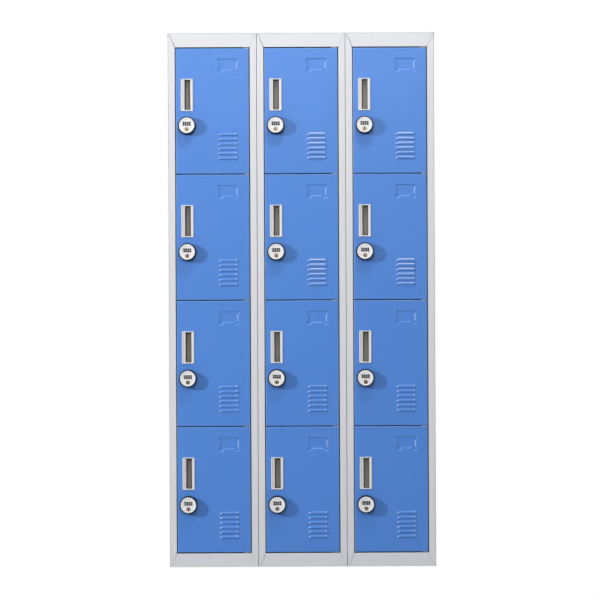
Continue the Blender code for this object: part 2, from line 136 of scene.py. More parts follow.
def settled(mesh, modifiers):
    """The mesh after modifiers, given as (type, settings) pairs."""
    obj = bpy.data.objects.new("workpiece", mesh)
    bpy.context.scene.collection.objects.link(obj)
    for kind, settings in modifiers:
        modifier = obj.modifiers.new(kind, kind)
        for key, value in settings.items():
            setattr(modifier, key, value)
    bpy.context.view_layer.update()
    graph = bpy.context.evaluated_depsgraph_get()
    done = bpy.data.meshes.new_from_object(obj.evaluated_get(graph))
    bpy.data.objects.remove(obj)
    return done


def thickened(mesh, thickness=SHEET):
    solidify = {"thickness": thickness * MM, "offset": -1, "use_even_offset": True}
    return settled(mesh, [("SOLIDIFY", solidify)])


def cut(mesh, cutters):
    """The mesh with each cutter taken away."""
    objects = []
    for cutter in cutters:
        obj = bpy.data.objects.new("cutter", cutter)
        bpy.context.scene.collection.objects.link(obj)
        objects.append(obj)
    settings = [{"operation": "DIFFERENCE", "solver": "EXACT", "object": obj} for obj in objects]
    done = settled(mesh, [("BOOLEAN", each) for each in settings])
    for obj in objects:
        bpy.data.objects.remove(obj)
    return done


def graded(*stops):
    """Grid lines through (place, step) stops: step is how far apart the lines are up to the next stop."""
    places = []
    for (start, step), (end, _) in zip(stops, stops[1:]):
        count = max(1, round((end - start) / step))
        places += [start + (end - start) * n / count for n in range(count)]
    return places + [stops[-1][0]]


def bend_rings(depth, extra=()):
    """(outward, back) of each line of a fold, from the end of the bend to the edge of the flange."""
    turns = [math.radians(90 * n / BEND_STEPS) for n in range(1, BEND_STEPS + 1)]
    rings = [(BEND * math.sin(a), BEND * (1 - math.cos(a))) for a in turns]
    return rings + [(BEND, d) for d in extra] + [(BEND, depth)]


def folded_sheet(across, down, folded, rings, depth=None, drop=None):
    """A sheet on grid lines, with its named sides (L, R, T, B) folded back. Returns points and faces."""
    X, V = np.meshgrid(np.array(across), np.array(down), indexing="ij")
    Y = depth(X, V) if depth else np.zeros_like(X)
    nx, nv = X.shape
    points = [np.stack([X, Y, -V], -1).reshape(-1, 3)]
    faces = []
    gone = drop(X, V) if drop else np.zeros((nx - 1, nv - 1), bool)
    for i in range(nx - 1):
        for j in range(nv - 1):
            if not gone[i, j]:
                a = i * nv + j
                faces.append((a + 1, a + nv + 1, a + nv, a))
    edge = [(i, nv - 1) for i in range(nx - 1)] + [(nx - 1, j) for j in range(nv - 1, 0, -1)]
    edge += [(i, 0) for i in range(nx - 1, 0, -1)] + [(0, j) for j in range(nv - 1)]
    outward = []
    for i, j in edge:
        left = -1 if i == 0 and "L" in folded else 0
        right = 1 if i == nx - 1 and "R" in folded else 0
        up = 1 if j == 0 and "T" in folded else 0
        low = -1 if j == nv - 1 and "B" in folded else 0
        outward.append((left + right, up + low))
    base = np.array([[X[i, j], Y[i, j], -V[i, j]] for i, j in edge])
    outward = np.array(outward, float)
    start = nx * nv
    rows = [np.array([i * nv + j for i, j in edge])]
    for out, back in rings:
        ring = base + np.stack([outward[:, 0] * out, np.full(len(edge), back), outward[:, 1] * out], -1)
        points.append(ring)
        rows.append(np.arange(start, start + len(edge)))
        start += len(edge)
    for k in range(len(edge)):
        n = (k + 1) % len(edge)
        side = outward[k] * outward[n]
        if not side.any():
            continue
        for upper, lower in zip(rows, rows[1:]):
            faces.append((upper[k], lower[k], lower[n], upper[n]))
    return np.concatenate(points), faces


def without_loose(points, faces):
    """The points that some face uses, and the faces on them."""
    used = np.unique(np.array([i for f in faces for i in f]))
    place = {int(old): new for new, old in enumerate(used)}
    return points[used], [tuple(place[int(i)] for i in f) for f in faces]


def punch(points, faces, centre, radius, axis, slack=0.3):
    """A round hole through the grid square of the same half-width around centre."""
    flat = [a for a in range(3) if a != axis]
    centre = np.array(centre, float)
    away = points[:, flat] - centre[flat]
    reach = np.abs(away).max(1)
    near = np.abs(points[:, axis] - centre[axis]) < slack
    within = near & (reach < radius + CLOSE)
    rim = near & (np.abs(reach - radius) < CLOSE)
    size = np.maximum(np.hypot(away[:, 0], away[:, 1]), 1e-6)[:, None]
    points = points.copy()
    rounded = centre[flat] + away / size * radius
    points[np.ix_(rim, flat)] = rounded[rim]
    return points, [f for f in faces if not all(within[list(f)])]


def bent_path(corners, radius):
    """A polyline through corners, with inner corners rounded and lines that hold its long flats flat."""
    corners = [Vector(c) for c in corners]
    path = [corners[0]]
    for before, corner, after in zip(corners, corners[1:], corners[2:]):
        into, out = (corner - before).normalized(), (after - corner).normalized()
        trim = radius * math.tan(into.angle(out) / 2)
        start, end = corner - into * trim, corner + out * trim
        centre = start + (out - into * into.dot(out)).normalized() * radius
        for n in range(BEND_STEPS + 1):
            arm = (start - centre).slerp(end - centre, n / BEND_STEPS)
            path.append(centre + arm)
    path.append(corners[-1])
    held = [path[0]]
    for here, there in zip(path, path[1:]):
        if (there - here).length > 5:
            step = (there - here).normalized()
            held += [here + step, here + 2 * step, there - 2 * step, there - step]
        held.append(there)
    return held


def swept(path, ends, flip=False):
    """A path of (a, b) points swept along a third axis c between ends(a, b). Gives (a, b, c) points."""
    points, faces = [], []
    for point in path:
        low, high = ends(*point)
        points += [(point[0], point[1], low), (point[0], point[1], high)]
    for n in range(len(path) - 1):
        quad = (2 * n, 2 * n + 2, 2 * n + 3, 2 * n + 1)
        faces.append(quad[::-1] if flip else quad)
    return np.array(points, float), faces


def lathe(profile, sides, axis="Y"):
    """A closed solid turned from (radius, along) points that run from the axis back to the axis."""
    points, faces, rings = [], [], []
    for radius, along in profile:
        if radius < 1e-6:
            rings.append([len(points)])
            points.append((0, along, 0))
            continue
        rings.append(list(range(len(points), len(points) + sides)))
        for n in range(sides):
            a = 2 * math.pi * n / sides
            points.append((radius * math.cos(a), along, radius * math.sin(a)))
    for here, there in zip(rings, rings[1:]):
        for n in range(sides):
            m = (n + 1) % sides
            ring = [here[n % len(here)], there[n % len(there)], there[m % len(there)], here[m % len(here)]]
            faces.append(list(dict.fromkeys(ring)))
    if axis == "X":
        points = [(y, z, x) for x, y, z in points]
    if axis == "Z":
        points = [(x, -z, y) for x, y, z in points]
    return edited(mesh_from("turned", points, faces))


def rounded_rectangle(half_w, half_h, radius, corner_steps=5, shift=0.0):
    """Points anticlockwise round a rounded rectangle, as (x, z)."""
    points = []
    for quarter in range(4):
        sx = (1, -1, -1, 1)[quarter]
        sz = (1, 1, -1, -1)[quarter]
        for n in range(corner_steps + 1):
            a = math.radians(90 * (quarter + n / corner_steps))
            x = shift + sx * (half_w - radius) + radius * math.cos(a)
            points.append((x, sz * (half_h - radius) + radius * math.sin(a)))
    return points


def arc(centre, radius, degrees):
    """Points round a centre, at each of the angles."""
    turns = [math.radians(a) for a in degrees]
    return [(centre[0] + radius * math.cos(a), centre[1] + radius * math.sin(a)) for a in turns]


def plate(outline, low, high, axis, bevel, segments=2):
    """A flat plate between two planes across axis, from an outline of the other two coordinates."""
    order = {"X": (2, 0, 1), "Y": (0, 2, 1), "Z": (0, 1, 2)}[axis]
    points = []
    for along in (low, high):
        for p, q in outline:
            spot = (p, q, along)
            points.append(tuple(spot[order[n]] for n in range(3)))
    count = len(outline)
    faces = [list(range(count)), list(range(count, 2 * count))]
    faces += [(n, (n + 1) % count, count + (n + 1) % count, count + n) for n in range(count)]

    def bevelled(bm):
        rims = [e for e in bm.edges if count == 4 or max(len(f.verts) for f in e.link_faces) > 4]
        bmesh.ops.bevel(bm, geom=rims, offset=bevel * MM, segments=segments, profile=0.5, affect="EDGES")

    return edited(mesh_from("plate", points, faces), bevelled)


def joined(name, meshes):
    """Meshes (or (mesh, shift in mm) pairs) as one."""
    bm = bmesh.new()
    for entry in meshes:
        mesh, shift = entry if isinstance(entry, tuple) else (entry, (0, 0, 0))
        piece = mesh.copy()
        piece.transform(Matrix.Translation(Vector(shift) * MM))
        bm.from_mesh(piece)
        bpy.data.meshes.remove(piece)
    made = bpy.data.meshes.new(name)
    bm.to_mesh(made)
    bm.free()
    return made


def show(name, mesh, location, body, materials=()):
    """Put a mesh into the locker as a visible piece that rides on a body."""
    obj = bpy.data.objects.new(name, mesh)
    bpy.context.scene.collection.objects.link(obj)
    if materials and not mesh.materials:
        for material in materials:
            mesh.materials.append(material)
    obj.location = location
    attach(obj, body)
    return obj


# ---------------------------------------------------------------- materials


RANGE = ("From Min", "From Max", "To Min", "To Max")


class Nodes:
    """A small helper for writing a material's nodes in order."""

    def __init__(self, name):
        self.material = bpy.data.materials.new(name)
        self.material.use_nodes = True
        self.tree = self.material.node_tree
        self.shader = self.tree.nodes["Principled BSDF"]

    def add(self, kind, **settings):
        node = self.tree.nodes.new(kind)
        for key, value in settings.items():
            setattr(node, key, value)
        return node

    def link(self, source, target):
        self.tree.links.new(source, target)

    def coords(self):
        return self.add("ShaderNodeTexCoord").outputs["Object"]

    def noise(self, where, scale, detail=3.0, rough=0.55):
        node = self.add("ShaderNodeTexNoise")
        node.inputs["Scale"].default_value = scale
        node.inputs["Detail"].default_value = detail
        node.inputs["Roughness"].default_value = rough
        self.link(where, node.inputs["Vector"])
        return node.outputs["Fac"]

    def span(self, value, low, high, from_low=0.3, from_high=0.7):
        node = self.add("ShaderNodeMapRange")
        for name, number in zip(RANGE, (from_low, from_high, low, high)):
            node.inputs[name].default_value = number
        self.link(value, node.inputs["Value"])
        return node.outputs["Result"]

    def math(self, operation, a, b):
        node = self.add("ShaderNodeMath", operation=operation)
        for socket, value in zip(node.inputs, (a, b)):
            if isinstance(value, (int, float)):
                socket.default_value = value
            else:
                self.link(value, socket)
        return node.outputs[0]

    def mix(self, factor, a, b):
        node = self.add("ShaderNodeMix", data_type="RGBA")
        for socket, value in zip((node.inputs[0], node.inputs[6], node.inputs[7]), (factor, a, b)):
            if isinstance(value, tuple):
                socket.default_value = (*value, 1.0)
            elif isinstance(value, (int, float)):
                socket.default_value = value
            else:
                self.link(value, socket)
        return node.outputs[2]

    def bump(self, height, distance, strength=1.0, under=None):
        node = self.add("ShaderNodeBump")
        node.inputs["Strength"].default_value = strength
        node.inputs["Distance"].default_value = distance
        self.link(height, node.inputs["Height"])
        if under:
            self.link(under, node.inputs["Normal"])
        return node.outputs["Normal"]

    def finish(self, colour=None, roughness=None, normal=None, **values):
        for name, value in (("Base Color", colour), ("Roughness", roughness), ("Normal", normal)):
            if value is not None:
                self.link(value, self.shader.inputs[name])
        for name, value in values.items():
            self.shader.inputs[name.replace("_", " ")].default_value = value
        return self.material


def shade(colour, factor):
    """A darker or lighter colour."""
    return tuple(min(1.0, c * factor) for c in colour)


# The pale colour of painted highlights.
HIGHLIGHT_TONE = (0.94, 0.92, 0.89)


def powder_coat(name, colour, edge_highlight_colour, roughness):
    """Baked powder paint: orange peel, faint clouding, specks, and painted highlights on edges and spots.
    """
    n = Nodes(name)
    where = n.coords()
    clouds = n.span(n.noise(where, 2.3, 2), 0.0, 1.0)
    tone = n.mix(clouds, shade(colour, 0.975), shade(colour, 1.025))
    specks = n.span(n.noise(where, 900, 2), 0.0, 0.10, 0.58, 0.72)
    tone = n.mix(specks, tone, shade(colour, 1.35))
    # Painted highlight: convex edges are mixed towards a paler colour.
    edge = n.add("ShaderNodeNewGeometry").outputs["Pointiness"]
    rim = n.span(edge, 0.0, 0.7, 0.505, 0.55)
    tone = n.mix(rim, tone, edge_highlight_colour)
    # Painted highlights, as strong as the mesh's point attribute says: the doors' hoods and label recess.
    highlighted = n.add("ShaderNodeAttribute", attribute_name="highlighted").outputs["Fac"]
    tone = n.mix(n.math("MULTIPLY", highlighted, 0.88), tone, HIGHLIGHT_TONE)
    gloss = n.math("ADD", n.span(n.noise(where, 14, 3), -0.03, 0.04), roughness)
    peel = n.noise(where, 420, 3, 0.5)
    waves = n.noise(where, 60, 2)
    normal = n.bump(waves, 0.0004, 0.05)
    normal = n.bump(peel, 0.00005, 0.35, normal)
    return n.finish(tone, gloss, normal)


def moulded_plastic(name, colour, roughness, grain=1500, depth=0.00002, specular=0.5):
    """Injection-moulded plastic with a fine spark-eroded grain and faint flow marks."""
    n = Nodes(name)
    where = n.coords()
    flow = n.span(n.noise(where, 30, 2), 0.0, 1.0)
    tone = n.mix(flow, shade(colour, 0.97), shade(colour, 1.02))
    dust = n.span(n.noise(where, 160, 4), 0.0, 0.10, 0.55, 0.75)
    tone = n.mix(dust, tone, shade(colour, 0.75))
    gloss = n.math("ADD", n.span(n.noise(where, 90, 2), -0.04, 0.05), roughness)
    normal = n.bump(n.noise(where, grain, 2), depth, 0.4)
    return n.finish(tone, gloss, normal, Specular_IOR_Level=specular)


def metal(name, colour, roughness, spangle=260, dark=0.7):
    """Plated metal: a mottled bloom, fine rolling marks and a broken-up gloss."""
    n = Nodes(name)
    where = n.coords()
    cells = n.add("ShaderNodeTexVoronoi")
    cells.inputs["Scale"].default_value = spangle
    n.link(where, cells.inputs["Vector"])
    mottle = n.span(cells.outputs["Distance"], 0.0, 0.5, 0.0, 0.8)
    tone = n.mix(mottle, colour, shade(colour, dark))
    bloom = n.span(n.noise(where, 40, 4), 0.0, 0.5)
    tone = n.mix(bloom, tone, shade(colour, 1.2))
    gloss = n.math("ADD", n.span(n.noise(where, 120, 3), -0.07, 0.1), roughness)
    normal = n.bump(n.noise(where, 800, 3), 0.00003, 0.35)
    return n.finish(tone, gloss, normal, Metallic=1.0)


def printed(name, colour, roughness):
    """Matt ink, or painted shade inside a hollow, slightly uneven."""
    n = Nodes(name)
    where = n.coords()
    wear = n.span(n.noise(where, 700, 3), 0.0, 0.35)
    tone = n.mix(wear, colour, shade(colour, 0.7))
    return n.finish(tone, n.span(n.noise(where, 300), roughness - 0.05, roughness + 0.08))


BLUE = powder_coat("blue_powder_coat", (0.092, 0.273, 0.768), (0.28, 0.55, 0.97), 0.37)
GREY = powder_coat("grey_powder_coat", (0.505, 0.528, 0.590), (0.90, 0.90, 0.92), 0.46)
# Painted shade for the frames' inner faces and the seams between columns.
JAMB_SHADE = powder_coat("jamb_painted_shade", (0.21, 0.215, 0.23), (0.40, 0.40, 0.42), 0.62)
ZINC = metal("zinc_plate", (0.66, 0.64, 0.62), 0.34)
# Dark metal as painted shade on the hinge strip, seen through the gaps between doors.
STRIP_SHADE_STEEL = metal("hinge_strip_painted_shade", (0.20, 0.195, 0.19), 0.5)
PULL = moulded_plastic("pull_plastic", (0.80, 0.785, 0.765), 0.36)
CUP = moulded_plastic("cup_plastic", (0.33, 0.31, 0.285), 0.45)
# Near-black painted shade on the finger cup's walls.
CUP_WALL_SHADE = moulded_plastic("cup_wall_painted_shade", (0.030, 0.026, 0.021), 0.6)
WHITE = moulded_plastic("lock_white", (0.93, 0.93, 0.94), 0.25)
BLACK = moulded_plastic("lock_black", (0.008, 0.008, 0.009), 0.55, specular=0.2)
BRASS = metal("brass", (0.56, 0.44, 0.28), 0.34, 500, 0.8)
# Painted shade for the keyhole's slot.
SHADOW = printed("keyhole_black", (0.012, 0.011, 0.010), 0.6)
DIGITS = printed("digit_ink", (0.55, 0.55, 0.53), 0.5)
RUBBER = moulded_plastic("buffer_rubber", (0.42, 0.42, 0.42), 0.6, 700, 0.00005)


# ---------------------------------------------------------------- doors


def smooth(t):
    """An easy rise from 0 to 1."""
    t = np.clip(t, 0, 1)
    return t * t * (3 - 2 * t)


def from_rectangle(x, z, half_w, half_h, radius):
    """Distance outside a rounded rectangle; negative inside."""
    qx, qz = np.abs(x) - (half_w - radius), np.abs(z) - (half_h - radius)
    return np.hypot(np.maximum(qx, 0), np.maximum(qz, 0)) + np.minimum(np.maximum(qx, qz), 0) - radius


def label_depth(X, V):
    """The pressed label recess, with a tab left standing at each side and one at the lower edge."""
    x, z = X - LABEL, LABEL_DROP - V
    away = from_rectangle(x, z, 34.8, 22.8, 3.0)
    sides = from_rectangle(np.abs(x) - 39.0, z, 9.2, 10.8, 2.0)
    lower = from_rectangle(x, z + 26.0, 19.0, 11.0, 2.0)
    for tab in (sides, lower):
        away = 0.5 * (away - tab + np.sqrt((away + tab) ** 2 + 0.3))
    return LABEL_DEPTH * smooth((0.6 - away) / 2.1)


def hood_half(t):
    """Half the width of a hood at t below its top: its ends slant outwards to the lip."""
    return HOOD_TOP_HALF + (HOOD_HALF - HOOD_TOP_HALF) * np.clip((t - FOLD) / (LIP - FOLD), 0, 1)


def louvre_height(X, V):
    """The pressed hoods: a steep fold, a face that leans out to the lip, an underside back to the slot."""
    x = np.abs(X - LABEL)
    number = np.floor((V - LOUVRE_DROP) / LOUVRE_PITCH + 1e-6)
    t = V - LOUVRE_DROP - number * LOUVRE_PITCH
    rise = 0.86 * smooth((t - FOLD) / FOLD_W) + 0.14 * np.clip((t - FOLD) / (LIP - FOLD), 0, 1)
    under = 1 - 0.82 * np.clip((t - LIP) / UNDERSIDE, 0, 1)
    ends = smooth((hood_half(t) + 0.8 - x) / 3.0)
    on = (number >= 0) & (number < LOUVRES) & (t < FOOT + 0.005)
    return np.where(on, HOOD_RISE * rise * under * ends, 0.0)


def door_depth(X, V):
    """How far the door's face stands back from its flat front."""
    return label_depth(X, V) - louvre_height(X, V)


def open_under_hoods(X, V):
    """The slot under each hood's lip."""
    x = np.abs((X[1:, 1:] + X[:-1, :-1]) / 2 - LABEL)
    v = (V[1:, 1:] + V[:-1, :-1]) / 2
    t = (v - LOUVRE_DROP) % LOUVRE_PITCH
    among = (v > LOUVRE_DROP) & (v < LOUVRES_END)
    return among & (t > FOOT) & (t < FOOT + SLOT) & (x < HOOD_HALF - 0.6)


def bare_spots(points, folds):
    """Painted highlights, 0 to 1: on the hoods' folds and two corners, and on the recess's right wall."""
    X, Y, V = points[:, 0] - LABEL, points[:, 1], -points[:, 2]
    t = (V - LOUVRE_DROP) % LOUVRE_PITCH
    on_hoods = (V > LOUVRE_DROP) & (V < LOUVRES_END) & (Y < -0.02)
    left = np.hypot((X + HOOD_HALF - 1.2) / 1.5, (t - LIP + 1.4) / 1.6)
    right = np.hypot((X - HOOD_TOP_HALF + 0.6) / 1.6, (t - 5.4) / 1.3)
    spots = np.clip(1.6 - np.minimum(left, right), 0, 1)
    hood = np.clip((V - LOUVRE_DROP) // LOUVRE_PITCH, 0, LOUVRES - 1).astype(int)
    line = np.clip(1.5 - np.abs(t - 5.2), 0, 1) * (np.abs(X + 0.8) < HOOD_TOP_HALF - 1.5)
    spots = np.maximum(spots, line * np.array(folds)[hood]) * on_hoods
    wall = (X > 24) & (X < 34) & (np.abs(V - LABEL_DROP) < 10.5) & (Y > 0.25) & (Y < 1.9)
    return np.maximum(spots, 0.7 * wall)


def door_lines():
    """Grid lines over the door, close together where the sheet is shaped and beside every edge."""
    left, right = GRIP - PULL_HOLE_W / 2, GRIP + PULL_HOLE_W / 2
    across = graded((BEND, 1), (BEND + 2, 7), (left - 2, 1), (left, 6.75), (GRIP - LOCK_HOLE_R, 2.625))
    across += graded((GRIP + LOCK_HOLE_R, 6.75), (right, 1), (right + 2, 12), (LABEL - 41, 4))
    near_label = graded((-37, 0.6), (-21.4, 0.65), (-17, 4.2), (17, 0.65), (21.4, 0.6), (37, 1))
    across += [LABEL + p for p in near_label]
    left, right, edge = DOOR_W - PIN_IN - PIN_HOLE_R, DOOR_W - PIN_IN + PIN_HOLE_R, DOOR_W - BEND
    across += graded((LABEL + 42, 6), (left, 1.45), (right, 2), (edge - 2, 1), (edge, 1))
    near_label = graded((-26, 0.6), (-20.5, 1.7), (-13.5, 0.6), (-8.5, 3), (8.5, 0.6), (25.5, 1))
    down = graded((BEND, 1), (BEND + 2, 8), (LABEL_DROP - 30, 4)) + [LABEL_DROP + p for p in near_label]
    top, foot = HANDLE_DROP - PULL_HOLE_H / 2, HANDLE_DROP + PULL_HOLE_H / 2
    down += graded((LABEL_DROP + 29, 4), (top - 2, 1), (top, 13.25), (foot, 1), (foot + 2, 1))
    down += graded((foot + 10, 10), (LOCK_DROP - LOCK_HOLE_R, 2.625), (LOCK_DROP + LOCK_HOLE_R, 6))
    for hood in range(LOUVRES):
        lines = [3.3, FOLD, 4.5, 4.9, 5.3, 5.7, 6.1, FOLD + FOLD_W, 7.4, 8.7, 10.0]
        lines += [LIP - 0.3, LIP, LIP + 0.3, LIP + 0.55, FOOT - 0.2, FOOT]
        lines += [FOOT + SLOT, FOOT + SLOT + 0.3, FOOT + SLOT + 0.6, 15.4]
        down += [LOUVRE_DROP + hood * LOUVRE_PITCH + t for t in lines]
    down += graded((LOUVRES_END + 4, 8), (DOOR_H - BEND - 2, 1), (DOOR_H - BEND, 1))
    return sorted(set(across)), sorted(set(down))


def door_mesh(name, folds):
    """A folded door. The list says how strong a painted highlight lies on the fold of each of its hoods.
    """
    across, down = door_lines()
    rings = bend_rings(DOOR_DEPTH, extra=(3.1, 4.55, 6.0, 7.45, 8.9, 12.0))
    points, faces = folded_sheet(across, down, "LRTB", rings, door_depth, open_under_hoods)
    centre = points[np.array(faces)].mean(1)
    beside, above = np.abs(centre[:, 0] - GRIP), np.abs(centre[:, 2] + HANDLE_DROP)
    in_pull_hole = (beside < PULL_HOLE_W / 2) & (above < PULL_HOLE_H / 2) & (centre[:, 1] < 0.5)
    faces = [f for f, gone in zip(faces, in_pull_hole) if not gone]
    points, faces = punch(points, faces, (GRIP, 0, -LOCK_DROP), LOCK_HOLE_R, 1)
    for height in (0.0, -DOOR_H):
        points, faces = punch(points, faces, (DOOR_W - PIN_IN, PIN_BACK, height), PIN_HOLE_R, 2)
    points, faces = without_loose(points, faces)
    mesh = mesh_from(name, points, faces)
    highlighted = mesh.attributes.new("highlighted", "FLOAT", "POINT")
    highlighted.data.foreach_set("value", bare_spots(points, folds))
    return rounded_shading(thickened(mesh), 40)


# ---------------------------------------------------------------- pulls


WALL_LOOP = 10
FLOOR_LOOP = 12
CUP_SHIFT = 1.8
PULL_FRONT = -2.5

# Each loop's half width, half height, corner radius, shift to the right and place behind the door's face
PULL_LOOPS = [
    (20.5, 54.3, 2.2, 0.0, -0.3),
    (20.5, 54.3, 2.2, 0.0, -1.5),
    (20.25, 54.05, 2.1, 0.0, -2.1),
    (19.6, 53.4, 1.9, 0.0, PULL_FRONT),
    (16.6, 52.1, 1.5, 0.0, PULL_FRONT),
    (16.1, 51.7, 1.4, 0.0, -2.2),
    (16.0, 51.6, 1.4, 0.0, -1.2),
    (10.6, 50.9, 1.0, CUP_SHIFT, -1.0),
    (10.0, 50.7, 1.0, CUP_SHIFT, -0.75),
    (9.7, 50.5, 1.0, CUP_SHIFT, -0.2),
    (9.7, 50.4, 1.0, CUP_SHIFT, 0.4),
    (9.5, 50.1, 1.0, CUP_SHIFT + 0.1, 1.5),
    (8.0, 48.2, 1.2, CUP_SHIFT + 1.5, 12.9),
    (7.4, 47.6, 1.0, CUP_SHIFT + 1.5, 13.5),
]


def pull_mesh():
    """A moulded bezel with rounded edges, running down into a finger cup."""
    loops = PULL_LOOPS
    rings = [rounded_rectangle(w, h, r, shift=s) for w, h, r, s, _ in loops]
    count = len(rings[0])
    points = [(x, loop[4], z) for ring, loop in zip(rings, loops) for x, z in ring]
    faces = []
    for k in range(len(loops) - 1):
        for n in range(count):
            m = (n + 1) % count
            faces.append((k * count + n, (k + 1) * count + n, (k + 1) * count + m, k * count + m))
    faces.append([(len(loops) - 1) * count + n for n in range(count)])
    mesh = mesh_from("pull", points, faces)
    for material in (PULL, CUP_WALL_SHADE, CUP):
        mesh.materials.append(material)
    # The cup's walls take the near-black painted shade; its floor takes the grey cup plastic.
    for number, face in enumerate(mesh.polygons):
        face.material_index = (number >= WALL_LOOP * count) + (number >= FLOOR_LOOP * count)

    def facing_out(bm):
        front = min(bm.faces, key=lambda f: abs(f.calc_center_median().y - PULL_FRONT * MM))
        if front.normal.y > 0:
            bmesh.ops.reverse_faces(bm, faces=bm.faces)

    return rounded_shading(thickened(edited(mesh, facing_out), 1.0), 35)


# ---------------------------------------------------------------- locks

WHEELS = 4
WHEEL_R = 12.5
WHEEL_PITCH = 7.0
WHEEL_W = 5.3
WHEEL_RISE = 5.4
WHEEL_FRONT = -24.95
KEY_DROP = 13.2
DIGITS_ROUND = 10
DIGIT_H = 4.4
BARREL_R = 9.0
THREAD = 1.5
CAM_HALF = 6.8
CAM_REACH = 28.5
CAM_EYE_R = 8.9


def wheel_x(number):
    """How far right of the knob's axis a number wheel is."""
    return (number - (WHEELS - 1) / 2) * WHEEL_PITCH


def ring_mesh():
    """The black body of the knob, with its skirt against the door."""
    profile = [(0, -17.5), (26.2, -17.5), (26.5, -18.6), (27.6, -19.0), (29.2, -18.8), (29.9, -17.9)]
    profile += [(29.9, -3.4), (29.3, -3.0), (29.3, -2.4), (29.9, -2.0), (29.9, -0.9), (29.3, -0.35)]
    profile.append((0, -0.35))
    return rounded_shading(lathe(profile, 96), 30)


def box_cutter(centre, half, radius=0.4):
    """A block to cut with, from its middle and half sizes, with upright edges rounded to the radius."""
    outline = rounded_rectangle(half[0], half[2], radius, 3)
    outline = [(x + centre[0], z + centre[2]) for x, z in outline]
    return plate(outline, centre[1] - half[1], centre[1] + half[1], "Y", 0.01, 1)


def face_mesh():
    """The white cap: a raised rim, a dished face, four wheel windows and the key cylinder's seat."""
    profile = [(0, -17.6), (25.8, -17.6), (26.1, -18.2), (26.1, -23.3), (25.9, -24.2), (25.4, -24.8)]
    profile += [(24.7, -25.0), (22.5, -25.0), (21.9, -24.8), (21.2, -24.0), (20.5, -23.8), (19.0, -23.75)]
    cap = lathe(profile + [(0, -23.75)], 96)
    window = (WHEEL_W / 2 + 0.3, 4.5, 6.7)
    cutters = [box_cutter((wheel_x(n), -23, WHEEL_RISE), window) for n in range(WHEELS)]
    seat = lathe([(0, -30), (7.1, -30), (7.1, -19), (0, -19)], 48)
    seat.transform(Matrix.Translation((0, 0, -KEY_DROP * MM)))
    return rounded_shading(cut(cap, cutters + [seat]), 30)


def glyph(character, height):
    """A digit as a thin solid, centred, in x and z, facing -Y."""
    curve = bpy.data.curves.new("digit", "FONT")
    curve.body = character
    curve.size = 1.0
    curve.resolution_u = 3
    curve.align_x = "CENTER"
    curve.extrude = 0.01
    curve.offset = 0.012
    obj = bpy.data.objects.new("digit", curve)
    bpy.context.scene.collection.objects.link(obj)
    bpy.context.view_layer.update()
    mesh = bpy.data.meshes.new_from_object(obj.evaluated_get(bpy.context.evaluated_depsgraph_get()))
    bpy.data.objects.remove(obj)
    co = np.array([v.co for v in mesh.vertices], float).reshape(-1, 3)
    low, high = co.min(0), co.max(0)
    scale = height / (high[1] - low[1])
    x = (co[:, 0] - (low[0] + high[0]) / 2) * scale
    z = (co[:, 1] - (low[1] + high[1]) / 2) * scale
    flat = np.stack([x, -co[:, 2], z], -1)
    faces = [tuple(p.vertices) for p in mesh.polygons]
    bpy.data.meshes.remove(mesh)
    return flat, faces


def wheel_mesh():
    """One number wheel on the X axis: a crowned rim, side chamfers, and ten digits round it."""
    half, rim = WHEEL_W / 2, WHEEL_R - 0.05
    profile = [(0, -half), (WHEEL_R - 0.9, -half), (WHEEL_R - 0.35, -half + 0.35), (rim, -half + 0.8)]
    profile += [(rim, half - 0.8), (WHEEL_R - 0.35, half - 0.35), (WHEEL_R - 0.9, half), (0, half)]
    body = rounded_shading(lathe(profile, 80, "X"), 30)
    points, faces = [], []
    for digit in range(DIGITS_ROUND):
        flat, outline = glyph(str(digit), DIGIT_H)
        width = np.abs(flat[:, 0]).max()
        flat[:, 0] *= min(1.3, 1.5 / width)
        angle = flat[:, 2] / WHEEL_R - math.radians(360 / DIGITS_ROUND * digit)
        reach = WHEEL_R + np.where(flat[:, 1] < 0, 0.03, -0.2)
        start = sum(len(p) for p in points)
        points.append(np.stack([flat[:, 0], -reach * np.cos(angle), reach * np.sin(angle)], -1))
        faces += [tuple(i + start for i in f) for f in outline]
    ink = mesh_from("digits", np.concatenate(points), faces)
    bm = bmesh.new()
    bm.from_mesh(body)
    bm.from_mesh(ink)
    for face in bm.faces[len(body.polygons):]:
        face.material_index = 1
    bmesh.ops.recalc_face_normals(bm, faces=bm.faces)
    made = bpy.data.meshes.new("number_wheel")
    bm.to_mesh(made)
    bm.free()
    made.materials.append(BLACK)
    made.materials.append(DIGITS)
    return made


def key_mesh():
    """The key cylinder: a brass collar, a plug inside it and an upright keyhole."""
    profile = [(0, -19.2), (6.9, -19.2), (6.9, -24.3), (6.5, -24.8), (5.6, -24.8), (5.35, -24.4)]
    profile += [(5.1, -24.4), (4.85, -24.75), (0, -24.75)]
    body = lathe(profile, 64)
    slot = box_cutter((0, -24, 0), (0.8, 3.2, 3.7), 0.35)
    notch = box_cutter((0.9, -24, -0.9), (0.55, 3.2, 0.9), 0.2)
    made = rounded_shading(cut(body, [slot, notch]), 30)
    made.materials.append(BRASS)
    made.materials.append(SHADOW)
    # The keyhole's walls and floor take near-black painted shade.
    for face in made.polygons:
        x, y, z = face.center / MM
        if abs(x) < 1.5 and abs(z) < 3.75 and y > -24.6:
            face.material_index = 1
    return made


def barrel_mesh():
    """The threaded barrel behind the knob."""
    profile = [(0, 0.0), (BARREL_R, 0.0)]
    for turn in range(13):
        along = 1.0 + turn * THREAD
        profile += [(8.9, along), (9.4, along + 0.45), (9.4, along + 0.75), (8.9, along + 1.2)]
    profile += [(8.9, 21.3), (8.2, 22.0), (0, 22.0)]
    return rounded_shading(lathe(profile, 40), 20)


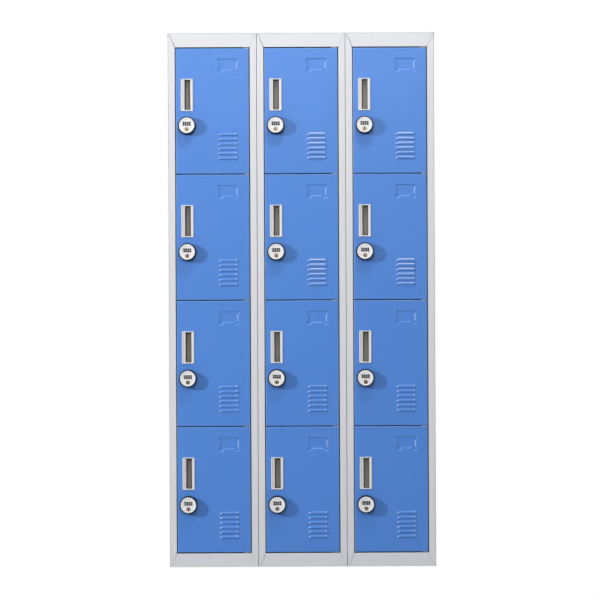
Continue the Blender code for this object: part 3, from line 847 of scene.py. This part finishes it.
def hexagon(across_flats, turn):
    """A hexagon's corners, turned by some degrees."""
    return arc((0, 0), across_flats / math.sqrt(3), [60 * n + turn for n in range(6)])


def nut_mesh():
    """The hexagon nut and washer that hold the barrel to the door."""
    profile = [(9.8, 1.0), (14.5, 1.0), (14.8, 1.3), (14.8, 1.7), (14.5, 2.0), (9.8, 2.0), (9.8, 1.0)]
    washer = lathe(profile, 48)
    nut = plate(hexagon(24.0, 12), 2.05, 6.0, "Y", 0.5)
    bore = lathe([(0, 0), (9.75, 0), (9.75, 9), (0, 9)], 48)
    return rounded_shading(joined("barrel_nut", [washer, cut(nut, [bore])]), 30)


def cam_mesh():
    """The cam: a bar with round ends that hangs down when the lock is open."""
    outline = arc((0, -CAM_REACH), CAM_HALF, range(180, 361, 15))
    outline += [(CAM_HALF, -12.0), (CAM_EYE_R, -6.0)]
    outline += arc((0, 0), CAM_EYE_R, range(0, 181, 15))
    outline += [(-CAM_EYE_R, -6.0), (-CAM_HALF, -12.0)]
    return rounded_shading(plate(outline, 22.05, 23.95, "Y", 0.3), 30)


def cam_screw_mesh():
    """The screw and washer that hold the cam to the barrel."""
    washer = lathe([(0, 24.0), (6.2, 24.0), (6.4, 24.2), (6.4, 24.7), (6.2, 24.9), (0, 24.9)], 32)
    head = plate(hexagon(10.0, 5), 24.95, 27.1, "Y", 0.45)
    return rounded_shading(joined("cam_screw", [washer, head]), 30)


def build_doors():
    """Every door's sheet, pull and lock. Each lock's pieces are placed about its turning axis."""
    unhighlighted = door_mesh("door_sheet", NO_FOLD_HIGHLIGHTS)
    highlighted = door_mesh("highlighted_door_sheet", FOLD_HIGHLIGHTS)
    pull = pull_mesh()
    wheel = wheel_mesh()
    parts = [
        ("lock_ring", ring_mesh(), (BLACK,)),
        ("lock_face", face_mesh(), (WHITE,)),
        ("lock_barrel", barrel_mesh(), (ZINC,)),
        ("lock_cam", cam_mesh(), (ZINC,)),
        ("lock_cam_screw", cam_screw_mesh(), (ZINC,)),
    ]
    key, nut = key_mesh(), nut_mesh()
    for column in COLUMNS:
        for row in ROWS:
            tag = f"c{column}_r{row}"
            low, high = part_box(f"door_{tag}")
            corner = Vector((low.x, FACE_Y, high.z))
            body, lock = f"door_{tag}", f"lock_{tag}"
            # The upper two doors of the second and third columns have painted highlights on their hoods'
            # folds.
            door = highlighted if column > 1 and row < 3 else unhighlighted
            sheet = show(f"sheet_{tag}", door, corner, body, (BLUE,))
            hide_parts(body)
            at = corner + Vector((GRIP, 0, -HANDLE_DROP)) * MM
            grip = show(f"pull_{tag}", pull, at, body, (PULL,))
            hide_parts(f"handle_{tag}")
            at = corner + Vector((GRIP, 0, -LOCK_DROP)) * MM
            show(f"lock_nut_{tag}", nut, at, body, (ZINC,))
            for name, mesh, materials in parts:
                piece = show(f"{name}_{tag}", mesh, at, lock, materials)
                if name == "lock_face":
                    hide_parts(lock)
            plug_at = at + Vector((0, 0, -KEY_DROP)) * MM
            show(f"lock_key_{tag}", key, plug_at, lock)
            for number in range(WHEELS):
                shift = Vector((wheel_x(number), WHEEL_R + WHEEL_FRONT, WHEEL_RISE)) * MM
                show(f"lock_wheel{number + 1}_{tag}", wheel, at + shift, lock)


# ---------------------------------------------------------------- cabinet

STILE = 22.5
RAIL = 46.0
RETURN = 14.0
JAMB = 20.0
FRAME_BEND = 1.2
STRIKE_AT = 18.9
STRIKE_W = 12.0
STRIKE_END = 60.0
MITRE_START = 3.5
MITRE_LEFT = 0.75
MITRE_RIGHT = 0.3
GRID = 60
EAR_W = 20.0
EAR_RIGHT = 8.7
EAR_CORNER = 2.5
EAR_HALF = 0.8
PIN_R = 2.5
PIN_REACH = 6.7
GAP = 3.5
SEAMS = (("right", 1), ("left", 2), ("right", 2), ("left", 3))


def frame_strips(column):
    """The four mitred strips of a column's surround. Its inner faces and its seams carry painted shade."""
    low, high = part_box(f"front_frame_c{column}")
    width, height = (high.x - low.x) / MM, (high.z - low.z) / MM
    origin = Vector((low.x, FACE_Y, 0))
    lean = RAIL / (STILE - MITRE_START)

    def stile_ends(gap):
        def ends(a, _):
            if a > STILE + 0.5:
                return STRIKE_END, height - STRIKE_END
            reach = max(0, min(a, STILE) - MITRE_START) * lean
            reach += gap * math.hypot(1, lean) * (a > MITRE_START)
            return reach, height - reach

        return ends

    def rail_ends(a, _):
        reach = MITRE_START + min(max(a, 0), RAIL) / lean
        slant = math.hypot(1, 1 / lean)
        return reach + MITRE_LEFT * slant, width - reach - MITRE_RIGHT * slant

    outer = [(0, RETURN), (0, 0)]
    strike = [(STILE, 0), (STILE, STRIKE_AT), (STILE + STRIKE_W, STRIKE_AT)]
    left = bent_path(outer + strike, FRAME_BEND)
    right = bent_path(outer + [(STILE, 0), (STILE, JAMB)], FRAME_BEND)
    rail = bent_path(outer + [(RAIL, 0), (RAIL, JAMB)], FRAME_BEND)
    strips = {
        "left": (left, stile_ends(MITRE_LEFT), False, lambda a, b, c: (a, b, c)),
        "right": (right, stile_ends(MITRE_RIGHT), True, lambda a, b, c: (width - a, b, c)),
        "top": (rail, rail_ends, False, lambda a, b, c: (c, b, height - a)),
        "bottom": (rail, rail_ends, True, lambda a, b, c: (c, b, a)),
    }
    for side, (path, ends, flip, turn) in strips.items():
        points, faces = swept(path, ends, flip)
        mesh = mesh_from("strip", [turn(*p) for p in points], faces)
        mesh.materials.append(GREY)
        mesh.materials.append(JAMB_SHADE)
        in_seam = (side, column) in SEAMS
        for face, start, end in zip(mesh.polygons, path, path[1:]):
            place, back = (start + end) / 2
            # Painted shade on the faces inside the door opening and at the seams between columns.
            inside = place > STILE - 0.3 and back > 1.0
            face.material_index = int(inside or (in_seam and place < 0.3 and back > 0.6))
        mesh = rounded_shading(thickened(mesh), 40)
        piece = show(f"frame_{side}_c{column}", mesh, origin, "cabinet")
        if side == "left":
            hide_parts(f"front_frame_c{column}")


def pan(node, name, up, folded, depth, rings=None, hold=1.0):
    """A folded pan that stands for a CAD node. Its flat face looks up (Z) or back (Y)."""
    low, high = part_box(node)
    size = (high - low) / MM
    long_side = size.y if up == "Z" else size.z
    left = BEND if "L" in folded else 0
    right = size.x - (BEND if "R" in folded else 0)
    top = BEND if "T" in folded else 0
    bottom = long_side - (BEND if "B" in folded else 0)
    across = graded((left, hold), (left + 2 * hold, GRID), (right - 2 * hold, hold), (right, hold))
    down = graded((top, hold), (top + 2 * hold, GRID), (bottom - 2 * hold, hold), (bottom, hold))
    points, faces = folded_sheet(across, down, folded, rings or bend_rings(depth))
    mesh = rounded_shading(thickened(mesh_from(name, points, faces)), 40)
    if up == "Z":
        mesh.transform(Matrix.Rotation(math.radians(-90), 4, "X"))
        corner = Vector((low.x, high.y, high.z))
    else:
        mesh.transform(Matrix.Rotation(math.radians(180), 4, "Z"))
        corner = Vector((high.x, high.y, high.z))
    piece = show(name, mesh, corner, "cabinet", (GREY,))
    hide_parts(node)


def dome_mesh(radius, rise, axis="Y"):
    """A low round head on a plane, such as a rivet or a buffer. Its rise has the sign of its side."""
    turns = [math.radians(a) for a in range(0, 90, 15)]
    curve = [(radius * math.cos(a), rise * math.sin(a)) for a in turns]
    return rounded_shading(lathe([(0, 0)] + curve + [(0, rise)], 20, axis), 50)


def hinge_rail(column):
    """The strip behind the hinge-side jamb, its ears, the pins in them and its rivets."""
    node = f"hinge_rail_c{column}"
    low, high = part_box(node)
    axis = JOINTS[f"door_c{column}_r1_hinge"]["pos_m"]
    origin = Vector((axis[0], axis[1], 0))
    left, right = (low.x - axis[0]) / MM, (high.x - axis[0]) / MM
    front, back = (high.y - axis[1]) / MM - 1.5, (high.y - axis[1]) / MM
    z_low, z_high = low.z / MM, high.z / MM
    outline = [(left, z_low), (right, z_low), (right, z_high), (left, z_high)]
    strip = plate(outline, front, back, "Y", 0.3)
    # The strip's own faces take the dark metal as painted shade; the ears stay zinc.
    for face in strip.polygons:
        face.material_index = 1
    ears, pins, rivets = [], [], []
    gaps = [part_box(f"door_c{column}_r{row}")[1].z / MM + GAP / 2 for row in ROWS]
    gaps.append(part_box(f"door_c{column}_r4")[0].z / MM - GAP / 2)
    ear_left = EAR_RIGHT - EAR_W
    ear_front = (FACE_Y - axis[1]) / MM + 1.5
    turns = np.radians([22.5, 45, 67.5, 90])
    corner = [(EAR_CORNER * (1 - math.cos(t)), ear_front + EAR_CORNER * (1 - math.sin(t))) for t in turns]
    ear = [(ear_left, front), (ear_left, ear_front + EAR_CORNER)]
    ear += [(ear_left + a, b) for a, b in corner]
    ear += [(EAR_RIGHT - a, b) for a, b in reversed(corner)]
    ear += [(EAR_RIGHT, ear_front + EAR_CORNER), (EAR_RIGHT, front)]
    for number, middle in enumerate(gaps):
        ears.append(plate(ear, middle - EAR_HALF, middle + EAR_HALF, "Z", 0.2))
        bottom = middle - (PIN_REACH if number < len(ROWS) else 0.9)
        top = middle + (PIN_REACH if number > 0 else 0.9)
        pin = [(0, bottom), (PIN_R - 0.5, bottom), (PIN_R, bottom + 0.5)]
        pin += [(PIN_R, top - 0.5), (PIN_R - 0.5, top), (0, top)]
        pins.append(lathe(pin, 24, "Z"))
    for a, b in zip(gaps, gaps[1:]):
        for share in (0.2, 0.8):
            rivets.append((dome_mesh(3.0, -1.1), (0, front, a + (b - a) * share)))
    rail = rounded_shading(joined("hinge_rail", [strip] + ears), 30)
    piece = show(f"hinge_strip_c{column}", rail, origin, "cabinet", (ZINC, STRIP_SHADE_STEEL))
    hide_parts(node)
    pins = rounded_shading(joined("pins", pins), 30)
    show(f"hinge_pins_c{column}", pins, origin, "cabinet", (ZINC,))
    show(f"hinge_rivets_c{column}", joined("rivets", rivets), origin, "cabinet", (ZINC,))


def buffers(column):
    """Rubber buffers on the strike, two behind each door."""
    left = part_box(f"front_frame_c{column}")[0].x
    dome = dome_mesh(3.2, -1.9)
    spots = []
    for row in ROWS:
        low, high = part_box(f"door_c{column}_r{row}")
        for height in (high.z / MM - 40, low.z / MM + 40):
            spots.append((dome, (STILE + 6.5, STRIKE_AT, height)))
    at = Vector((left, FACE_Y, 0))
    show(f"buffers_c{column}", joined("buffers", spots), at, "cabinet", (RUBBER,))


def rivet_rows():
    """Flush rivets that fix the shelves to the sides and the backs to the uprights."""
    head = {"left": dome_mesh(3.4, -0.8, "X"), "right": dome_mesh(3.4, 0.8, "X")}
    back_head = dome_mesh(3.4, 0.8)
    levels = [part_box(f"shelf_c1_s{s}") for s in SHELVES]
    heights = [(low.z + high.z) / 2 / MM for low, high in levels]
    heights += [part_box("base_plinth")[1].z / MM / 2]
    depths = (35, 165, 300, 415)
    for side in ("left", "right"):
        low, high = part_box(f"side_panel_{side}")
        x = (low.x if side == "left" else high.x) / MM
        spots = [(head[side], (x, FACE_Y / MM + d, z)) for z in heights for d in depths]
        show(f"rivets_{side}", joined("rivets", spots), (0, 0, 0), "cabinet", (GREY,))
    spots = []
    for column in COLUMNS:
        low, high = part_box(f"back_panel_c{column}")
        for x in (low.x / MM + 8, high.x / MM - 8):
            for step in range(7):
                z = low.z / MM + 40 + step * ((high.z - low.z) / MM - 80) / 6
                spots.append((back_head, (x, high.y / MM, z)))
    show("rivets_back", joined("rivets", spots), (0, 0, 0), "cabinet", (GREY,))


def build_cabinet():
    """Everything that doesn't move. The side panels and partitions keep their CAD shapes, painted."""
    for column in COLUMNS:
        frame_strips(column)
        hinge_rail(column)
        buffers(column)
        pan(f"back_panel_c{column}", f"back_c{column}", "Y", "LRTB", 12.0)
        for shelf in SHELVES:
            pan(f"shelf_c{column}_s{shelf}", f"shelf_sheet_c{column}_s{shelf}", "Z", "LRTB", 16.0)
    pan("top_panel", "top_sheet", "Z", "LRT", 13.0)
    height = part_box("base_plinth")[1].z / MM
    hem = [(BEND * math.cos(a), height - BEND + BEND * math.sin(a)) for a in np.radians([0, 30, 60, 90])]
    rings = bend_rings(height - BEND)[:-1] + hem + [(-16.4, height)]
    pan("base_plinth", "plinth_sheet", "Z", "LRTB", height, rings, hold=19.0)
    rivet_rows()
    for node, obj in frame["nodes"].items():
        if node.startswith(("side_panel", "partition")):
            obj.material_slots[0].material = GREY


# ---------------------------------------------------------------- stage


KEY_POWER = 243.0
TOP_POWER = 20.0
PANEL_POWER = 63.0
BACK_POWER = 70.0
SKY = 0.33
ZENITH = 0.55
HORIZON = 0.08
FLOOR_TONE = 0.35
SENSOR_MM = 36.0
CAMERA_AWAY = 7.0
CAMERA_ROLL = -0.265
PICTURE_PX = 600
MM_PER_PX = 3.3725


def light(name, location, target, power, size):
    """An area lamp aimed at a target: a disc when it is small, otherwise a panel."""
    data = bpy.data.lights.new(name, "AREA")
    data.energy = power
    data.shape = "ELLIPSE" if size[0] < 1 else "RECTANGLE"
    data.size, data.size_y = size
    obj = bpy.data.objects.new(name, data)
    bpy.context.scene.collection.objects.link(obj)
    obj.location = location
    obj.rotation_euler = (Vector(target) - Vector(location)).to_track_quat("-Z", "Y").to_euler()
    obj.visible_camera = False


def build_floor():
    """A plain pale floor. It shows as white and gives back only part of the light that falls on it."""
    size = 30.0
    corners = [(-size, -size, 0), (size, -size, 0), (size, size, 0), (-size, size, 0)]
    mesh = bpy.data.meshes.new("floor")
    mesh.from_pydata(corners, [], [(0, 1, 2, 3)])
    floor = bpy.data.objects.new("floor", mesh)
    bpy.context.scene.collection.objects.link(floor)
    floor.location.z = -0.0005
    n = Nodes("pale_floor")
    n.finish(Base_Color=(FLOOR_TONE, FLOOR_TONE, FLOOR_TONE, 1), Roughness=0.9, Specular_IOR_Level=0.1)
    glow = n.add("ShaderNodeEmission")
    glow.inputs["Color"].default_value = (1, 1, 1, 1)
    mix = n.add("ShaderNodeMixShader")
    n.link(n.add("ShaderNodeLightPath").outputs["Is Camera Ray"], mix.inputs[0])
    n.link(n.shader.outputs[0], mix.inputs[1])
    n.link(glow.outputs[0], mix.inputs[2])
    n.link(mix.outputs[0], n.tree.nodes["Material Output"].inputs["Surface"])
    mesh.materials.append(n.material)


def build_surround():
    """White where the camera sees it; elsewhere a soft light that is stronger from above."""
    world = bpy.data.worlds.new("surround")
    bpy.context.scene.world = world
    world.use_nodes = True
    tree = world.node_tree
    tree.nodes.clear()
    kinds = ["LightPath", "TexCoord", "SeparateXYZ", "MapRange", "Background", "Background"]
    kinds += ["MixShader", "OutputWorld", "MapRange", "Math"]
    nodes = [tree.nodes.new("ShaderNode" + kind) for kind in kinds]
    path, spot, split, level, soft, white, mix, out, overhead, both = nodes
    level.interpolation_type = "SMOOTHSTEP"
    for name, value in zip(RANGE, (-0.05, 0.45, HORIZON, SKY)):
        level.inputs[name].default_value = value
    for name, value in zip(RANGE, (0.6, 0.85, 0.0, ZENITH)):
        overhead.inputs[name].default_value = value
    white.inputs["Color"].default_value = (1, 1, 1, 1)
    for source, target in (
        (spot.outputs["Generated"], split.inputs[0]),
        (split.outputs["Z"], level.inputs["Value"]),
        (split.outputs["Z"], overhead.inputs["Value"]),
        (level.outputs["Result"], both.inputs[0]),
        (overhead.outputs["Result"], both.inputs[1]),
        (both.outputs[0], soft.inputs["Strength"]),
        (path.outputs["Is Camera Ray"], mix.inputs["Fac"]),
        (soft.outputs[0], mix.inputs[1]),
        (white.outputs[0], mix.inputs[2]),
        (mix.outputs[0], out.inputs["Surface"]),
    ):
        tree.links.new(source, target)


def build_lights():
    """A key lamp far to the left, a lamp high in front, a soft panel above the camera and one behind."""
    light("key", (-5.60, FACE_Y - 3.05, 2.42), (0, FACE_Y, 0.9), KEY_POWER, (0.48, 0.48))
    light("top_lamp", (0.2, FACE_Y - 1.09, 3.5), (0, FACE_Y, 1.0), TOP_POWER, (0.30, 0.30))
    light("panel", (0.0, FACE_Y - 5.0, 3.05), (0, FACE_Y, 1.0), PANEL_POWER, (3.4, 1.5))
    light("back_panel", (3.2, 4.6, 2.9), (0, 0, 1.0), BACK_POWER, (2.5, 2.5))
    view = bpy.context.scene.view_settings
    view.view_transform = "Standard"
    view.look = "None"


def build_camera():
    """Straight in front at half the locker's height, turned and shifted slightly as in the photograph."""
    data = bpy.data.cameras.new("camera")
    camera = bpy.data.objects.new("camera", data)
    bpy.context.scene.collection.objects.link(camera)
    data.sensor_width = SENSOR_MM
    data.lens = SENSOR_MM * CAMERA_AWAY / (PICTURE_PX * MM_PER_PX * MM)
    camera.location = (0.0, FACE_Y - CAMERA_AWAY, 0.9)
    camera.rotation_euler = (math.radians(90), 0, 0)
    camera.rotation_euler.rotate_axis("Z", math.radians(CAMERA_ROLL))
    data.shift_x = -1.95 / PICTURE_PX
    data.shift_y = -0.2 / PICTURE_PX
    data.clip_end = 100
    bpy.context.scene.camera = camera


build_doors()
build_cabinet()
build_floor()
build_surround()
build_lights()
build_camera()
